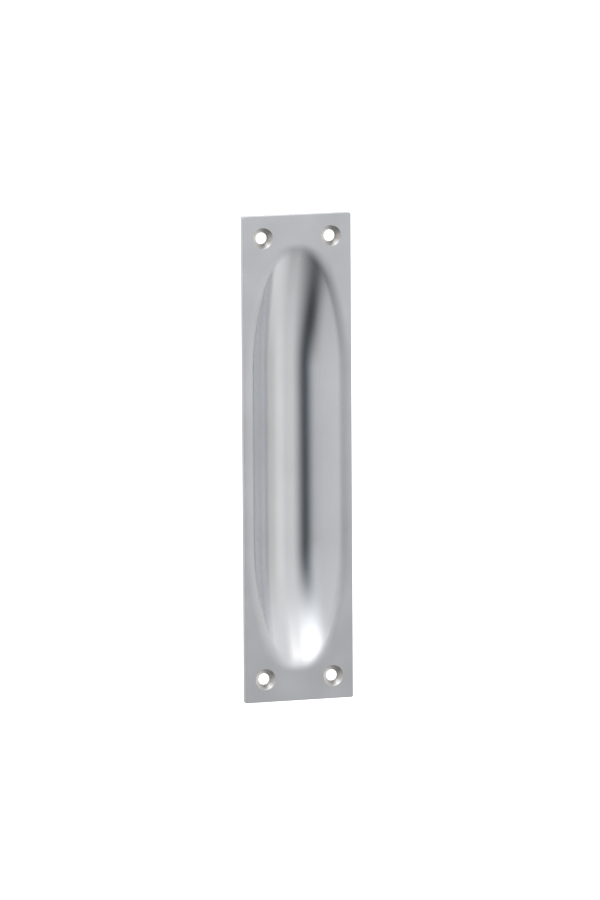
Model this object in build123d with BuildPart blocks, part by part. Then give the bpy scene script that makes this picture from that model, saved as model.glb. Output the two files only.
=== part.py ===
"""Flush pull: one plate of satin aluminium sheet with a long boat-shaped finger scoop pressed into it."""
import os
from math import acos, cos, degrees, radians, sqrt, tan
from build123d import *

# Flat plate, in millimetres
plate_length = 150.0
plate_width = 35.0
sheet = 2.0
corner_radius = 0.5
arris_break = 0.2

# Finger scoop; each margin runs from the plate's edge to where the scoop would meet the face in a sharp rim
side_margin = 2.5
end_margin = 10.0
scoop_depth = 8.6
flank_lean = 44.0
floor_radius = 13.0
end_rise_radius = 90.0
lip_radius = 4.5

# Four countersunk screw holes, set in from the sides and ends of the plate
screw_side_inset = 6.5
screw_end_inset = 7.0
screw_hole_radius = 1.75
countersink_radius = 3.2
countersink_angle = 82.0

# The back of the plate lies in the XZ plane and its front face looks towards -Y
front_face = Plane.XZ.offset(sheet)
face_y = front_face.origin.Y


def scoop_section(grow):
    """Cross-section of the scoop: a narrow floor, two large floor arcs and two leaning flanks."""
    lean = radians(flank_lean)
    rim = plate_width / 2 - side_margin + grow / cos(lean)
    foot = rim - (scoop_depth + grow) * tan(lean)
    mouth = rim + sheet * tan(lean)
    front_y = face_y - sheet
    floor_y = face_y + scoop_depth + grow
    # The floor arcs never take up the whole floor, so a narrow flat stays between them
    widest_arc = 0.95 * foot / tan(radians(90 - flank_lean) / 2)
    with BuildSketch() as section:
        with BuildLine():
            Polyline((mouth, front_y), (foot, floor_y), (-foot, floor_y), (-mouth, front_y), close=True)
        make_face()
        fillet(section.vertices().group_by(Axis.Y)[-1], min(floor_radius + grow, widest_arc))
    return section.sketch


def scoop_form(grow):
    """The scoop as a solid, grown by one distance all over: straight in the middle, rising at both ends.

    It runs on past the front face by one thickness of the sheet.
    """
    half_rim = plate_length / 2 - end_margin
    above_face = end_rise_radius - scoop_depth
    straight = half_rim - sqrt(end_rise_radius**2 - above_face**2)
    rise = degrees(acos((above_face - sheet) / (end_rise_radius + grow)))
    with BuildPart() as form:
        with BuildSketch(Plane.XY):
            add(scoop_section(grow))
        extrude(amount=straight)
        with BuildSketch(Plane.XY.offset(straight)):
            add(scoop_section(grow))
        revolve(axis=Axis((0, face_y - above_face, straight), (1, 0, 0)), revolution_arc=rise)
        mirror(about=Plane.XY)
    return form.part


with BuildPart() as scoop_back:
    # Behind the plate the scoop shows its own back, which follows the front at the thickness of the sheet
    add(scoop_form(sheet))
    split(bisect_by=Plane.XZ, keep=Keep.BOTTOM)

with BuildPart() as pull_plate:
    # The sheet is cut to a rectangle with nearly sharp corners, and the arris round its front face is broken
    with BuildSketch(Plane.XZ):
        RectangleRounded(plate_width, plate_length, corner_radius)
    extrude(amount=sheet)
    chamfer(pull_plate.faces().sort_by(Axis.Y)[0].edges(), arris_break)
    # The pressed back runs into the plate's flat back in a hollow curve
    add(scoop_back.part)
    back_face = pull_plate.faces().filter_by(Plane.XZ).sort_by(SortBy.AREA)[-2:].sort_by(Axis.Y)[-1]
    fillet(back_face.inner_wires().edges(), lip_radius - sheet)
    # The finger scoop, with a soft lip all the way round
    add(scoop_form(0), mode=Mode.SUBTRACT)
    front = pull_plate.faces().filter_by(Plane.XZ).sort_by(Axis.Y)[0]
    fillet(front.inner_wires().edges(), lip_radius)
    # One screw hole near each corner, countersunk from the front
    with Locations(front_face):
        with GridLocations(plate_width - 2 * screw_side_inset, plate_length - 2 * screw_end_inset, 2, 2):
            CounterSinkHole(screw_hole_radius, countersink_radius, counter_sink_angle=countersink_angle)

os.makedirs("parts", exist_ok=True)
pull_plate.part.label = "pull_plate"
export_step(pull_plate.part, "parts/pull_plate.step")
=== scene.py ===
"""Flush pull: a pressed plate of satin aluminium, seen from the front, a little from the left and above."""
import math

import bmesh
import bpy
import numpy as np
from mathutils import Matrix, Vector


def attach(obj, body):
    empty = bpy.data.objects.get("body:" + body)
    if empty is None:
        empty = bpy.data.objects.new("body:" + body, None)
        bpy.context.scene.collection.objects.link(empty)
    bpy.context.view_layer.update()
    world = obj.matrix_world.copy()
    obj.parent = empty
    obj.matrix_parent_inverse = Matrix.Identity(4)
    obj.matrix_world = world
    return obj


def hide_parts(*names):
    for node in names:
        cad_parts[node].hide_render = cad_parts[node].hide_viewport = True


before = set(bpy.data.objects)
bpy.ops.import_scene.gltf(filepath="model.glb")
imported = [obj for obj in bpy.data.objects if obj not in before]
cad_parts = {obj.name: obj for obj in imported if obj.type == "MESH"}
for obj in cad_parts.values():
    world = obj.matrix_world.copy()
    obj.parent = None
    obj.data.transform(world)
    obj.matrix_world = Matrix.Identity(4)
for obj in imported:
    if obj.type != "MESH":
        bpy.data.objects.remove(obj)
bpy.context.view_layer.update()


# The pull plate
# One sheet of aluminium 2 mm thick, cut to a rectangle and pressed in a die, so that a long boat-shaped
# finger scoop runs down its middle with a soft lip all round. Four screw holes are countersunk after
# pressing. Lengths are in millimetres.
MM = 0.001
PLATE_HALF_WIDTH, PLATE_HALF_LENGTH, SHEET = 17.5, 75.0, 2.0
CORNER_RADIUS, ARRIS = 0.5, 0.2
SCOOP_HALF_WIDTH, SCOOP_HALF_LENGTH, SCOOP_DEPTH = 15.0, 65.0, 8.6
FLANK_RISE = math.radians(46.0)
FLOOR_RADIUS, END_RISE_RADIUS, LIP_RADIUS = 13.0, 90.0, 4.5
SCREW_X, SCREW_Z = 11.0, 68.0
BORE_RADIUS, COUNTERSINK_RADIUS, COUNTERSINK_ANGLE = 1.75, 3.2, 82.0
# Each screw sits in a square of the face's mesh, with this half side and this many steps along each side
SCREW_SQUARE, SQUARE_STEPS = 4.4, 28


def pressed_height(x, z, grow, lip):
    """Height of the pressed form behind the flat face, at the points x, z in millimetres.

    Across, the form is a narrow flat floor, an arc of the floor radius and a straight flank. Along, it is
    straight in the middle, and at each end the whole section turns about a far centre, so that each line
    of it is an arc whose radius is the end radius less the height of that line above the floor. Where the
    form meets the flat face, an arc of the lip radius is tangent to both. grow moves the whole form
    outwards: 0 is the front, one sheet is the back.
    """
    floor_half = (SCOOP_HALF_WIDTH - SCOOP_DEPTH / math.tan(FLANK_RISE)
                  - FLOOR_RADIUS * math.tan(FLANK_RISE / 2))
    straight = SCOOP_HALF_LENGTH - math.sqrt(END_RISE_RADIUS**2 - (END_RISE_RADIUS - SCOOP_DEPTH)**2)
    arc = FLOOR_RADIUS + grow
    out = np.maximum(np.abs(x) - floor_half, 0)
    on_arc = np.minimum(out, arc * math.sin(FLANK_RISE))
    rise = arc - np.sqrt(arc**2 - on_arc**2) + (out - on_arc) * math.tan(FLANK_RISE)
    along = np.maximum(np.abs(z) - straight, 0)
    swing = END_RISE_RADIUS + grow - rise
    reach = np.sqrt(np.maximum(swing**2 - along**2, 1))
    height = SCOOP_DEPTH - END_RISE_RADIUS - grow + reach
    slope = np.hypot(swing / reach * on_arc / np.sqrt(arc**2 - on_arc**2), along / reach)
    angle = np.arctan(slope)
    way_in = height / np.maximum(slope, 1e-6) + lip * np.tan(angle / 2)
    on_lip = np.clip(way_in, 0, lip * np.sin(angle))
    over_lip = lip - np.sqrt(np.maximum(lip**2 - on_lip**2, 0))
    return np.where(way_in < lip * np.sin(angle), over_lip, height)


def spaced(stops, counts):
    """Positions from the first stop to the last, with the given number of equal steps between neighbours."""
    runs = [np.linspace(a, b, n, endpoint=False) for a, b, n in zip(stops, stops[1:], counts)]
    return np.append(np.concatenate(runs), stops[-1])


def round_corners(x, z, half_x, half_z, radius):
    """Moves the points of each corner square of a rectangle into a quarter disc, so its corners are arcs.

    In a corner square, u and v run from 0 to 1 outwards, and go to u * sqrt(1 - v*v/2) and
    v * sqrt(1 - u*u/2).
    """
    u = (np.abs(x) - half_x + radius) / radius
    v = (np.abs(z) - half_z + radius) / radius
    corner = (u > 0) & (v > 0)
    u, v = np.where(corner, u, 0), np.where(corner, v, 0)
    round_x = half_x - radius + radius * u * np.sqrt(1 - v**2 / 2)
    round_z = half_z - radius + radius * v * np.sqrt(1 - u**2 / 2)
    return np.where(corner, np.sign(x) * round_x, x), np.where(corner, np.sign(z) * round_z, z)


def strip_faces(rows, columns, closed):
    """Quads between neighbouring rows and columns of a grid; closed joins the last column to the first."""
    first = np.arange(rows - 1)[:, None] * columns
    here = np.arange(columns if closed else columns - 1)[None, :]
    after = (here + 1) % columns
    corners = [first + here, first + after, first + columns + after, first + columns + here]
    return np.stack(corners, -1).reshape(-1, 4)


def face_grid(inset):
    """Grid lines across and along a face that stops an inset short of the plate's edges, and its half sides.

    The lines run through the corners of the screws' squares, with the square's own steps between them.
    """
    half_x, half_z = PLATE_HALF_WIDTH - inset, PLATE_HALF_LENGTH - inset
    corner_x, corner_z = PLATE_HALF_WIDTH - CORNER_RADIUS, PLATE_HALF_LENGTH - CORNER_RADIUS
    x_stops = [SCREW_X - SCREW_SQUARE, SCREW_X + SCREW_SQUARE, corner_x, half_x]
    z_stops = [SCREW_Z - SCREW_SQUARE, SCREW_Z + SCREW_SQUARE, corner_z, half_z]
    # Few steps in the plain border, and the most between the screws, where the scoop is
    x_counts = [3, 4, SQUARE_STEPS, 44, SQUARE_STEPS, 4, 3]
    z_counts = [3, 5, SQUARE_STEPS, 170, SQUARE_STEPS, 5, 3]
    x_line = spaced([-s for s in reversed(x_stops)] + x_stops, x_counts)
    z_line = spaced([-s for s in reversed(z_stops)] + z_stops, z_counts)
    return x_line, z_line, half_x, half_z


def plate_face(inset, grow, lip, hole_profile):
    """One face of the plate as grids of points (x, height, z): the face, and a ring patch for each screw.

    The face is a grid of lines, with a square left out at each screw. A ring patch carries the square's
    outline into the screw hole's circle in even steps, and then follows the hole's profile of
    (radius, depth) inwards.
    """
    x_line, z_line, half_x, half_z = face_grid(inset)
    x, z = np.meshgrid(x_line, z_line, indexing="ij")
    x, z = round_corners(x, z, half_x, half_z, CORNER_RADIUS - inset)
    points = np.stack([x, pressed_height(x, z, grow, lip), z], -1).reshape(-1, 3)
    quads = strip_faces(len(x_line), len(z_line), False)
    middle = np.abs(points[quads].mean(1))
    beside, above = np.abs(middle[:, 0] - SCREW_X), np.abs(middle[:, 2] - SCREW_Z)
    at_screw = (beside < SCREW_SQUARE) & (above < SCREW_SQUARE)
    parts = [(points, quads[~at_screw])]
    step = np.linspace(-SCREW_SQUARE, SCREW_SQUARE, SQUARE_STEPS + 1)[:-1]
    edge = np.full(SQUARE_STEPS, SCREW_SQUARE)
    side_x = np.concatenate([step, edge, -step, -edge])
    side_z = np.roll(side_x, SQUARE_STEPS)
    angle = np.arctan2(side_z, side_x)
    # From 0 on the square to 1 on the circle, with one ring close to the circle that keeps its rim crisp
    spread = np.concatenate([np.linspace(0, 0.96, 9), [1.0]])[:, None]
    radius = hole_profile[0][0]
    ring_x = side_x * (1 - spread) + radius * np.cos(angle) * spread
    ring_z = side_z * (1 - spread) + radius * np.sin(angle) * spread
    profile = np.array(hole_profile[1:]).reshape(-1, 2)
    for screw_x in (-SCREW_X, SCREW_X):
        for screw_z in (-SCREW_Z, SCREW_Z):
            x, z = screw_x + ring_x, screw_z + ring_z
            flat = np.stack([x, pressed_height(x, z, grow, lip), z], -1)
            deep = np.stack([screw_x + profile[:, :1] * np.cos(angle), profile[:, 1:] + 0 * angle,
                             screw_z + profile[:, :1] * np.sin(angle)], -1)
            rings = np.concatenate([flat, deep])
            parts.append((rings.reshape(-1, 3), strip_faces(len(rings), len(angle), True)))
    return parts


def plate_side():
    """The plate's side: its outline, ring after ring, inset by each step of the edge's (inset, depth).

    The front edge is a quarter circle of the arris radius, and the rest of the side is straight.
    """
    x_line, z_line, half_x, half_z = face_grid(ARRIS)
    right, top = np.full(len(z_line) - 1, half_x), np.full(len(x_line) - 1, half_z)
    x = np.concatenate([x_line[:-1], right, -x_line[:-1], -right])
    z = np.concatenate([-top, z_line[:-1], top, -z_line[:-1]])
    x, z = round_corners(x, z, half_x, half_z, CORNER_RADIUS - ARRIS)
    core_x = np.clip(x, CORNER_RADIUS - PLATE_HALF_WIDTH, PLATE_HALF_WIDTH - CORNER_RADIUS)
    core_z = np.clip(z, CORNER_RADIUS - PLATE_HALF_LENGTH, PLATE_HALF_LENGTH - CORNER_RADIUS)
    turn = np.linspace(0, math.pi / 2, 5)
    inset = np.append(ARRIS * (1 - np.sin(turn)), [0, 0])[:, None]
    depth = np.append(ARRIS * (1 - np.cos(turn)), [SHEET / 2, SHEET])[:, None]
    out = (CORNER_RADIUS - inset) / (CORNER_RADIUS - ARRIS)
    rings = np.stack([core_x + (x - core_x) * out, depth + 0 * x, core_z + (z - core_z) * out], -1)
    return rings.reshape(-1, 3), strip_faces(len(rings), len(x), True)


# The countersink is a cone with fine turned grooves that fade out at both its ends, and its rim is barely
# rounded. Its profile runs inwards as (radius, depth) and ends with the bore at the back.
GROOVES, GROOVE_DEPTH = 6, 0.012
RIM_WIDTH, RIM_DEPTH = 0.04, 0.02
cone_depth = (COUNTERSINK_RADIUS - BORE_RADIUS) / math.tan(math.radians(COUNTERSINK_ANGLE / 2))
down_cone = np.linspace(0, 1, 25)
groove = GROOVE_DEPTH * np.sin(down_cone * 2 * math.pi * GROOVES) * np.sin(down_cone * math.pi)
cone = np.stack([COUNTERSINK_RADIUS + (BORE_RADIUS - COUNTERSINK_RADIUS) * down_cone - groove,
                 RIM_DEPTH + (cone_depth - RIM_DEPTH) * down_cone + groove], -1)
front_hole = [(COUNTERSINK_RADIUS + RIM_WIDTH, 0.0), (COUNTERSINK_RADIUS + 0.015, 0.005),
              *cone.tolist(), (BORE_RADIUS, SHEET)]
back_hole = [(BORE_RADIUS, 0.0)]

# The front stands one sheet in front of the back, which lies in the plane of the seat. Front, back and side
# are joined where their rims meet, and points that no face uses are left out.
WELD, SHARP_EDGE = 2e-6, math.radians(32)
stack, quads, first = [], [], 0
for points, faces, lift in (
        *[(p, f, -SHEET) for p, f in plate_face(ARRIS, 0.0, LIP_RADIUS, front_hole)],
        *[(p, f, 0.0) for p, f in plate_face(0.0, SHEET, LIP_RADIUS - SHEET, back_hole)],
        (*plate_side(), -SHEET)):
    stack.append(points + [0, lift, 0])
    quads.append(faces + first)
    first += len(points)
points, used = np.concatenate(stack), np.concatenate(quads)
kept, used = np.unique(used, return_inverse=True)
mesh = bpy.data.meshes.new("pull_plate_skin")
mesh.from_pydata((points[kept] * MM).tolist(), [], used.reshape(-1, 4).tolist())
shell = bmesh.new()
shell.from_mesh(mesh)
bmesh.ops.remove_doubles(shell, verts=shell.verts, dist=WELD)
bmesh.ops.recalc_face_normals(shell, faces=shell.faces)
shell.to_mesh(mesh)
shell.free()
mesh.polygons.foreach_set("use_smooth", np.ones(len(mesh.polygons), bool))
mesh.set_sharp_from_angle(angle=SHARP_EDGE)

# How far the die has burnished each point: 0 on the flat face and the back, 1 from this depth in the scoop
BURNISHED_FROM = 1.6
place = np.empty(len(mesh.vertices) * 3)
mesh.vertices.foreach_get("co", place)
place = place.reshape(-1, 3) / MM
depth = place[:, 1] + SHEET
from_screw = np.hypot(np.abs(place[:, 0]) - SCREW_X, np.abs(place[:, 2]) - SCREW_Z)
front_height = pressed_height(place[:, 0], place[:, 2], 0.0, LIP_RADIUS)
on_front = (from_screw > COUNTERSINK_RADIUS + 0.1) & (np.abs(depth - front_height) < 0.05)
burnished = np.where(on_front, np.clip(depth / BURNISHED_FROM, 0, 1), 0)
burnish = mesh.attributes.new("burnish", "FLOAT", "POINT")
burnish.data.foreach_set("value", burnished.astype(np.float32))

pull = bpy.data.objects.new("pull_plate_skin", mesh)
bpy.context.scene.collection.objects.link(pull)
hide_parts("pull_plate")
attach(pull, "root")


def linear(hex_colour):
    """An sRGB hex colour as linear red, green, blue and alpha."""
    parts = [int(hex_colour[i:i + 2], 16) / 255 for i in (1, 3, 5)]
    return [c / 12.92 if c <= 0.04045 else ((c + 0.055) / 1.055)**2.4 for c in parts] + [1.0]


def add_node(tree, kind, inputs=(), **settings):
    """Adds a node, sets its properties, and sets or links each named or numbered input."""
    made = tree.nodes.new(kind)
    for name, value in settings.items():
        setattr(made, name, value)
    for name, value in dict(inputs).items():
        if isinstance(value, bpy.types.NodeSocket):
            tree.links.new(value, made.inputs[name])
        else:
            made.inputs[name].default_value = value
    return made


# Satin anodised aluminium: etched matt and clear anodised, so the flat face spreads its reflections wide.
# The die has burnished the scoop, which is a shade brighter and mirrors the room more sharply, and the matt
# returns over the crown of the lip. The etch's tone varies slowly at random, in clouds of about 17 mm. On
# top of that the colour is painted a little darker towards the lower end: painted shade, standing in for the
# smaller amount of light that falls on the lower end. The etch's grain is about 0.03 mm, too fine to show,
# and is drawn as 0.4 mm.
ETCH_PER_METRE, CLOUDS_PER_METRE, PAINTED_SHADE_PER_METRE = 2500.0, 60.0, 4.0
MATT_ROUGHNESS, BURNISHED_ROUGHNESS, GRAIN_ROUGHNESS = 0.60, 0.25, 0.06
satin = bpy.data.materials.new("satin_anodised_aluminium")
satin.use_nodes = True
tree = satin.node_tree
tree.nodes.clear()
where = add_node(tree, "ShaderNodeTexCoord")
pressed = add_node(tree, "ShaderNodeAttribute", attribute_name="burnish", attribute_type="GEOMETRY")
etch = add_node(tree, "ShaderNodeTexNoise", {
    "Vector": where.outputs["Object"], "Scale": ETCH_PER_METRE, "Detail": 3.0})
cloud = add_node(tree, "ShaderNodeTexNoise", {
    "Vector": where.outputs["Object"], "Scale": CLOUDS_PER_METRE, "Detail": 2.0})
heights = add_node(tree, "ShaderNodeSeparateXYZ", {0: where.outputs["Object"]})
# Painted shade: the height is added to the random clouds, so the face's colour is darker towards the lower
# end
cloud_and_painted_shade = add_node(tree, "ShaderNodeMath", {
    0: heights.outputs["Z"], 1: PAINTED_SHADE_PER_METRE, 2: cloud.outputs["Fac"]}, operation="MULTIPLY_ADD")
tone_and_painted_shade = add_node(tree, "ShaderNodeMapRange", {
    "Value": cloud_and_painted_shade.outputs["Value"], "From Min": 0.1, "From Max": 0.9})
matt = add_node(tree, "ShaderNodeMix", {
    "Factor": tone_and_painted_shade.outputs["Result"], "A": linear("#C7C8CB"), "B": linear("#DCDDE0")}, data_type="RGBA")
bright = add_node(tree, "ShaderNodeMix", {
    "Factor": tone_and_painted_shade.outputs["Result"], "A": linear("#DCDDE0"), "B": linear("#E6E8EB")}, data_type="RGBA")
colour = add_node(tree, "ShaderNodeMix", {
    "Factor": pressed.outputs["Fac"], "A": matt.outputs["Result"], "B": bright.outputs["Result"]},
    data_type="RGBA")
gloss = add_node(tree, "ShaderNodeMapRange", {
    "Value": pressed.outputs["Fac"], "To Min": MATT_ROUGHNESS, "To Max": BURNISHED_ROUGHNESS},
    interpolation_type="SMOOTHSTEP")
grain = add_node(tree, "ShaderNodeMath", {
    0: etch.outputs["Fac"], 1: GRAIN_ROUGHNESS, 2: gloss.outputs["Result"]}, operation="MULTIPLY_ADD")
rough = add_node(tree, "ShaderNodeMath", {
    0: grain.outputs["Value"], 1: GRAIN_ROUGHNESS / 2}, operation="SUBTRACT")
relief = add_node(tree, "ShaderNodeBump", {
    "Height": etch.outputs["Fac"], "Strength": 0.04, "Distance": 0.02 * MM})
metal = add_node(tree, "ShaderNodeBsdfPrincipled", {
    "Base Color": colour.outputs["Result"], "Metallic": 1.0, "Roughness": rough.outputs["Value"],
    "Normal": relief.outputs["Normal"]})
add_node(tree, "ShaderNodeOutputMaterial", {"Surface": metal.outputs["BSDF"]})

# Bright cut aluminium: the countersinks and bores are cut after the pressing and stay as the tool left them,
# glossier than the face and a shade warmer than its anodising. The tool's chatter, about 0.1 mm, is too fine
# to show, and is drawn as 0.7 mm.
CHATTER_PER_METRE = 1500.0
cut = bpy.data.materials.new("bright_cut_aluminium")
cut.use_nodes = True
tree = cut.node_tree
tree.nodes.clear()
where = add_node(tree, "ShaderNodeTexCoord")
swirl = add_node(tree, "ShaderNodeTexNoise", {
    "Vector": where.outputs["Object"], "Scale": CHATTER_PER_METRE, "Detail": 3.0})
shade = add_node(tree, "ShaderNodeMix", {
    "Factor": swirl.outputs["Fac"], "A": linear("#B9B7B4"), "B": linear("#DEDCD9")}, data_type="RGBA")
metal = add_node(tree, "ShaderNodeBsdfPrincipled", {
    "Base Color": shade.outputs["Result"], "Metallic": 1.0, "Roughness": 0.28})
add_node(tree, "ShaderNodeOutputMaterial", {"Surface": metal.outputs["BSDF"]})

# The faces between the front and the back, within the countersink's rim, are the cut ones
mesh.materials.append(satin)
mesh.materials.append(cut)
centre = np.empty(len(mesh.polygons) * 3)
mesh.polygons.foreach_get("center", centre)
centre = centre.reshape(-1, 3) / MM
from_screw = np.hypot(np.abs(centre[:, 0]) - SCREW_X, np.abs(centre[:, 2]) - SCREW_Z)
between_faces = (centre[:, 1] > -SHEET + 0.001) & (centre[:, 1] < -0.001)
in_hole = (from_screw < COUNTERSINK_RADIUS + 0.02) & between_faces
mesh.polygons.foreach_set("material_index", in_hole.astype(np.int32))


# The floor
# A plain white floor, on which the lower edge of the plate stands. It takes the plate's soft shadow, and
# only the camera sees it, so that it adds no light to the plate.
FLOOR_REACH, FLOOR_CELLS, PAPER_LIFT = 12.0, 6, 0.85
floor_mesh = bpy.data.meshes.new("floor")
steps = np.linspace(-FLOOR_REACH, FLOOR_REACH, FLOOR_CELLS + 1)
across, back_and_forth = np.meshgrid(steps, steps, indexing="ij")
level = np.full_like(across, -PLATE_HALF_LENGTH * MM)
floor_points = np.stack([across, back_and_forth, level], -1).reshape(-1, 3)
floor_quads = strip_faces(FLOOR_CELLS + 1, FLOOR_CELLS + 1, False)[:, ::-1]
floor_mesh.from_pydata(floor_points.tolist(), [], floor_quads.tolist())
floor = bpy.data.objects.new("floor", floor_mesh)
bpy.context.scene.collection.objects.link(floor)
paper = bpy.data.materials.new("white_paper")
paper.use_nodes = True
tree = paper.node_tree
tree.nodes.clear()
dull = add_node(tree, "ShaderNodeBsdfDiffuse", {"Color": linear("#C8C8C8")})
pale = add_node(tree, "ShaderNodeEmission", {"Color": linear("#FFFFFF"), "Strength": PAPER_LIFT})
lit = add_node(tree, "ShaderNodeAddShader", {0: dull.outputs["BSDF"], 1: pale.outputs["Emission"]})
clear = add_node(tree, "ShaderNodeBsdfTransparent")
ray = add_node(tree, "ShaderNodeLightPath")
seen = add_node(tree, "ShaderNodeMixShader", {
    0: ray.outputs["Is Camera Ray"], 1: clear.outputs["BSDF"], 2: lit.outputs["Shader"]})
add_node(tree, "ShaderNodeOutputMaterial", {"Surface": seen.outputs["Shader"]})
floor_mesh.materials.append(paper)


# The light
# A white tent round the object, lit evenly from outside, with soft lamps and dim places on its cloth. Each
# row has a direction from the front towards the camera's side and a height, in degrees, how narrow it is,
# and the red, green and blue light that it adds or takes. The light falls off as exp(narrow * (cosine - 1)),
# with the cosine of the angle from that direction. Behind the plate, the camera sees plain white.
TENT = (1.115, 1.105, 1.095)
LAMPS = [
    (24.5, 0.5, 9.8, (-1.590, -1.560, -1.543)),
    (51.5, -70.0, 2.5, (-1.117, -1.107, -1.090)),
    (24.4, 35.8, 10.7, (2.061, 2.081, 2.069)),
    (33.9, -8.8, 20.0, (1.766, 1.749, 1.747)),
    (-62.0, -6.4, 24.0, (-0.371, -0.367, -0.391)),
    (34.6, -16.8, 24.0, (-1.093, -1.082, -1.077)),
    (27.1, 69.4, 2.7, (-1.212, -1.176, -1.124)),
    (-13.4, 42.9, 24.0, (1.129, 1.076, 1.010)),
    (-88.0, 73.0, 8.0, (1.000, 1.000, 1.000)),
    (60.0, 66.0, 10.0, (1.600, 1.600, 1.600)),
]
world = bpy.data.worlds.new("light_tent")
bpy.context.scene.world = world
world.use_nodes = True
tree = world.node_tree
tree.nodes.clear()
where = add_node(tree, "ShaderNodeTexCoord")
glow = TENT
for sideways, height, narrow, light in LAMPS:
    a, e = math.radians(sideways), math.radians(height)
    aim = (-math.sin(a) * math.cos(e), -math.cos(a) * math.cos(e), math.sin(e))
    facing = add_node(tree, "ShaderNodeVectorMath", {
        0: where.outputs["Generated"], 1: aim}, operation="DOT_PRODUCT")
    fall = add_node(tree, "ShaderNodeMath", {
        0: facing.outputs["Value"], 1: narrow, 2: -narrow}, operation="MULTIPLY_ADD")
    spot = add_node(tree, "ShaderNodeMath", {0: fall.outputs["Value"]}, operation="EXPONENT")
    glow = add_node(tree, "ShaderNodeVectorMath", {0: spot.outputs["Value"], 1: light, 2: glow},
                    operation="MULTIPLY_ADD").outputs["Vector"]
glow = add_node(tree, "ShaderNodeVectorMath", {0: glow, 1: (0, 0, 0)}, operation="MAXIMUM").outputs["Vector"]
tent = add_node(tree, "ShaderNodeBackground", {"Color": glow})
plain = add_node(tree, "ShaderNodeBackground", {"Color": linear("#FFFFFF")})
ray = add_node(tree, "ShaderNodeLightPath")
seen = add_node(tree, "ShaderNodeMixShader", {
    0: ray.outputs["Is Camera Ray"], 1: tent.outputs["Background"], 2: plain.outputs["Background"]})
add_node(tree, "ShaderNodeOutputWorld", {"Surface": seen.outputs["Shader"]})
bpy.context.scene.view_settings.view_transform = "Standard"


# The camera
# It stands 2.75 m away, to the left of the plate and a little above it, with a long lens and a slight roll.
YAW, PITCH, ROLL = math.radians(19.46), math.radians(7.662), math.radians(-0.333)
DISTANCE, ASIDE, HIGHER = 2752.1, 1.208, 2.26
lens = bpy.data.cameras.new("camera")
lens.sensor_width, lens.lens = 36.0, 359.5
camera = bpy.data.objects.new("camera", lens)
bpy.context.scene.collection.objects.link(camera)
bpy.context.scene.camera = camera
away = Vector((-math.sin(YAW) * math.cos(PITCH), -math.cos(YAW) * math.cos(PITCH), math.sin(PITCH)))
level_right = Vector((math.cos(YAW), -math.sin(YAW), 0.0))
level_up = away.cross(level_right)
right = level_right * math.cos(ROLL) + level_up * math.sin(ROLL)
up = level_up * math.cos(ROLL) - level_right * math.sin(ROLL)
stand = (away * DISTANCE + level_right * ASIDE + level_up * HIGHER) * MM
camera.matrix_world = Matrix.Translation(stand) @ Matrix((right, up, away)).transposed().to_4x4()
